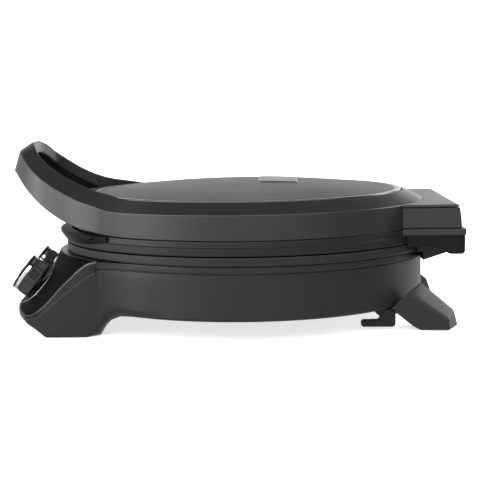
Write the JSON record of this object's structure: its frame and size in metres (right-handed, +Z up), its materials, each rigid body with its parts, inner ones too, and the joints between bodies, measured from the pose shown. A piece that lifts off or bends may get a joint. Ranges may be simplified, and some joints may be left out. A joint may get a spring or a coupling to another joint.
{
  "type": "electric pizza maker",
  "caption": "Round clamshell electric pizza maker with a domed hinged lid, raised front loop handle, sloping front console with turning knobs, baking stone and splayed rear legs.",
  "frame": {"origin": "centre of the plan outline, on the floor under the feet", "axes": "+Z up, -Y the front with the console and handle, +Y the back with the hinge, +X the user's right seen from the front"},
  "size_m": [0.3524, 0.43, 0.1724],
  "materials": {
    "shell": "satin, fine moulded grain",
    "gloss": "polished",
    "knob": "satin",
    "chrome": "polished",
    "plate": "rolled sheet",
    "reflector": "aluminised sheet, satin",
    "element": "oxidised sheath",
    "stone": "matt fired cordierite",
    "ceramic": "matt glazed steatite",
    "lamp": "clear red lens",
    "dark": "matt",
    "badge": "satin plate, bare",
    "wool": "ceramic fibre",
    "steel": "bright zinc",
    "zinc": "zinc plated",
    "rubber": "matt",
    "brass": "turned"
  },
  "bodies": {
    "base": {"base_casing": "shell", "console_cover": "gloss", "base_rim": "shell", "bottom_cover": "plate", "lower_reflector": "reflector", "lower_heating_element": "element", "lower_element_clip_1": "steel", "lower_element_clip_2": "steel", "lower_element_clip_3": "steel", "baking_stone": "stone", "terminal_block": "ceramic", "thermostat_body": "zinc", "timer_body": "zinc", "pilot_lamp": "lamp", "hinge_bracket": "shell", "hinge_pin_left": "steel", "hinge_pin_right": "steel", "rear_leg_left": "shell", "rear_leg_right": "shell", "rear_foot_pad_left": "rubber", "rear_foot_pad_right": "rubber", "front_foot_pad_left": "rubber", "front_foot_pad_right": "rubber", "cord_hook_left": "dark", "cord_hook_right": "dark", "cord_inlet_gland": "dark", "bottom_screw_1": "zinc", "bottom_screw_2": "zinc", "bottom_screw_3": "zinc", "bottom_screw_4": "zinc"},
    "lid": {"lid_rim": "shell", "handle_band": "shell", "lid_cover": "shell", "lid_hinge_cover": "shell", "hinge_screw_left": "zinc", "hinge_screw_right": "zinc", "badge_plate": "badge", "lid_insulation": "wool", "upper_reflector": "reflector", "upper_heating_element": "element", "upper_element_clip_1": "steel", "upper_element_clip_2": "steel", "upper_element_clip_3": "steel"},
    "thermostat_dial": {"thermostat_knob": "knob", "thermostat_knob_cap": "chrome", "thermostat_shaft": "brass"},
    "timer_dial": {"timer_knob": "knob", "timer_knob_cap": "chrome", "timer_shaft": "brass"}
  },
  "joints": [
    {"name": "lid_hinge", "type": "hinge", "parent": "base", "child": "lid", "pos_m": [0, 0.2066, 0.075], "axis": [-1, 0, 0], "range_deg": [0, 100]},
    {"name": "thermostat_turn", "type": "hinge", "parent": "base", "child": "thermostat_dial", "pos_m": [-0.0383, -0.1996, 0.0453], "axis": [0, -0.7986, 0.6018], "range_deg": [-270, 0]},
    {"name": "timer_turn", "type": "hinge", "parent": "base", "child": "timer_dial", "pos_m": [0.0383, -0.1996, 0.0453], "axis": [0, -0.7986, 0.6018], "range_deg": [-300, 0]}
  ]
}
